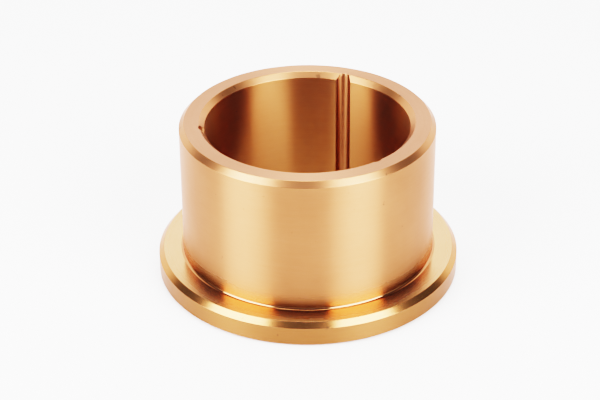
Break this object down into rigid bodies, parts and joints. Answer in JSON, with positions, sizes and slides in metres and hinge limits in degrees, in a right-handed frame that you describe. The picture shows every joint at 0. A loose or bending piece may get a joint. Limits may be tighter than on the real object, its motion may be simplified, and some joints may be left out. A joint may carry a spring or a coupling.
{
  "type": "flanged bronze bush",
  "caption": "Flanged bronze plain bearing bush: a turned sleeve with a flange at one end, chamfered edges and axial oil grooves in the bore.",
  "frame": {"origin": "on the bore's axis, in the plane of the flange's thrust face", "axes": "+Z along the bore's axis, from the flange towards the nose"},
  "size_m": [0.12, 0.12, 0.065],
  "materials": {
    "cast_bronze": "fine turned, satin to semi-bright"
  },
  "bodies": {
    "root": {"flanged_bush": "cast_bronze"}
  },
  "joints": []
}
